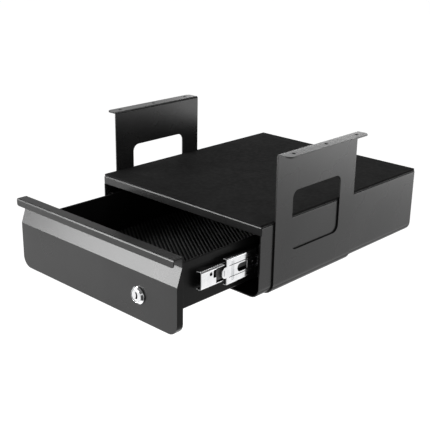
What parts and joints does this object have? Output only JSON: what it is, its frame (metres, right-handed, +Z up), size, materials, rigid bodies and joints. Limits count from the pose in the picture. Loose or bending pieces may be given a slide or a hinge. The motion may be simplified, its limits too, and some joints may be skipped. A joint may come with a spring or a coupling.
{
  "type": "under desk drawer safe",
  "caption": "Steel housing hung under a desk by two windowed brackets, with a key-locked drawer on telescopic ball slides and a rubber mat on top.",
  "frame": {"origin": "in the plane where the bracket flanges meet the desk's underside, on the centre line, level with the middle screw hole of each flange", "axes": "+X to the right as seen from the front, -Y the way the drawer opens, +Z up towards the desk"},
  "size_m": [0.3506, 0.5178, 0.1972],
  "materials": {
    "powder_coat": "satin",
    "rubber_mat": "matte",
    "zinc_steel": "satin",
    "chrome": "polished",
    "black_plastic": "matte"
  },
  "bodies": {
    "housing": {"housing_body": "powder_coat", "housing_top": "powder_coat", "housing_back": "powder_coat", "top_mat": "rubber_mat", "lock_catch": "powder_coat", "bracket_bolt_1": "zinc_steel", "bracket_bolt_2": "zinc_steel", "bracket_bolt_3": "zinc_steel", "bracket_bolt_4": "zinc_steel", "bracket_nut_1": "zinc_steel", "bracket_nut_2": "zinc_steel", "bracket_nut_3": "zinc_steel", "bracket_nut_4": "zinc_steel", "left_bracket": "powder_coat", "left_slide_mount": "powder_coat", "left_cabinet_member": "zinc_steel", "left_end_stop": "black_plastic", "left_cabinet_screw_1": "zinc_steel", "left_cabinet_screw_2": "zinc_steel", "right_bracket": "powder_coat", "right_slide_mount": "powder_coat", "right_cabinet_member": "zinc_steel", "right_end_stop": "black_plastic", "right_cabinet_screw_1": "zinc_steel", "right_cabinet_screw_2": "zinc_steel"},
    "drawer": {"drawer_tray": "powder_coat", "drawer_front": "powder_coat", "drawer_liner": "rubber_mat", "lock_body": "chrome", "lock_nut": "zinc_steel", "left_drawer_member": "zinc_steel", "left_slide_screw_1": "zinc_steel", "left_slide_screw_2": "zinc_steel", "left_front_screw_1": "zinc_steel", "left_front_screw_2": "zinc_steel", "right_drawer_member": "zinc_steel", "right_slide_screw_1": "zinc_steel", "right_slide_screw_2": "zinc_steel", "right_front_screw_1": "zinc_steel", "right_front_screw_2": "zinc_steel"},
    "lock_cylinder": {"lock_plug": "chrome", "lock_cam": "zinc_steel", "cam_screw": "zinc_steel"},
    "left_outer_cage": {"left_outer_ball_cage": "zinc_steel"},
    "left_middle": {"left_middle_member": "zinc_steel"},
    "left_inner_cage": {"left_inner_ball_cage": "zinc_steel"},
    "left_lever": {"left_release_lever": "black_plastic"},
    "right_outer_cage": {"right_outer_ball_cage": "zinc_steel"},
    "right_middle": {"right_middle_member": "zinc_steel"},
    "right_inner_cage": {"right_inner_ball_cage": "zinc_steel"},
    "right_lever": {"right_release_lever": "black_plastic"}
  },
  "joints": [
    {"name": "drawer_slide", "type": "slide", "parent": "housing", "child": "drawer", "axis": [0, -1, 0], "range_m": [-0.137, 0.203]},
    {"name": "left_outer_cage_slide", "type": "slide", "parent": "housing", "child": "left_outer_cage", "axis": [0, -1, 0], "range_m": [-0.03425, 0.05075]},
    {"name": "left_middle_slide", "type": "slide", "parent": "housing", "child": "left_middle", "axis": [0, -1, 0], "range_m": [-0.0685, 0.1015]},
    {"name": "left_inner_cage_slide", "type": "slide", "parent": "housing", "child": "left_inner_cage", "axis": [0, -1, 0], "range_m": [-0.10275, 0.15225]},
    {"name": "right_outer_cage_slide", "type": "slide", "parent": "housing", "child": "right_outer_cage", "axis": [0, -1, 0], "range_m": [-0.03425, 0.05075]},
    {"name": "right_middle_slide", "type": "slide", "parent": "housing", "child": "right_middle", "axis": [0, -1, 0], "range_m": [-0.0685, 0.1015]},
    {"name": "right_inner_cage_slide", "type": "slide", "parent": "housing", "child": "right_inner_cage", "axis": [0, -1, 0], "range_m": [-0.10275, 0.15225]},
    {"name": "lock_turn", "type": "hinge", "parent": "drawer", "child": "lock_cylinder", "pos_m": [0.087, -0.2595, -0.1575], "axis": [0, -1, 0], "range_deg": [0, 90]},
    {"name": "left_lever_tilt", "type": "hinge", "parent": "drawer", "child": "left_lever", "pos_m": [-0.1368, -0.1102, -0.1415], "axis": [1, 0, 0], "range_deg": [-1.5, 1.5], "stiffness_Nm_per_rad": 0.05},
    {"name": "right_lever_tilt", "type": "hinge", "parent": "drawer", "child": "right_lever", "pos_m": [0.1368, -0.1102, -0.1415], "axis": [1, 0, 0], "range_deg": [-1.5, 1.5], "stiffness_Nm_per_rad": 0.05}
  ],
  "couplings": [
    {"joint": "left_outer_cage_slide", "follows": "drawer_slide", "ratio": 0.25},
    {"joint": "left_middle_slide", "follows": "drawer_slide", "ratio": 0.5},
    {"joint": "left_inner_cage_slide", "follows": "drawer_slide", "ratio": 0.75},
    {"joint": "right_outer_cage_slide", "follows": "drawer_slide", "ratio": 0.25},
    {"joint": "right_middle_slide", "follows": "drawer_slide", "ratio": 0.5},
    {"joint": "right_inner_cage_slide", "follows": "drawer_slide", "ratio": 0.75}
  ]
}
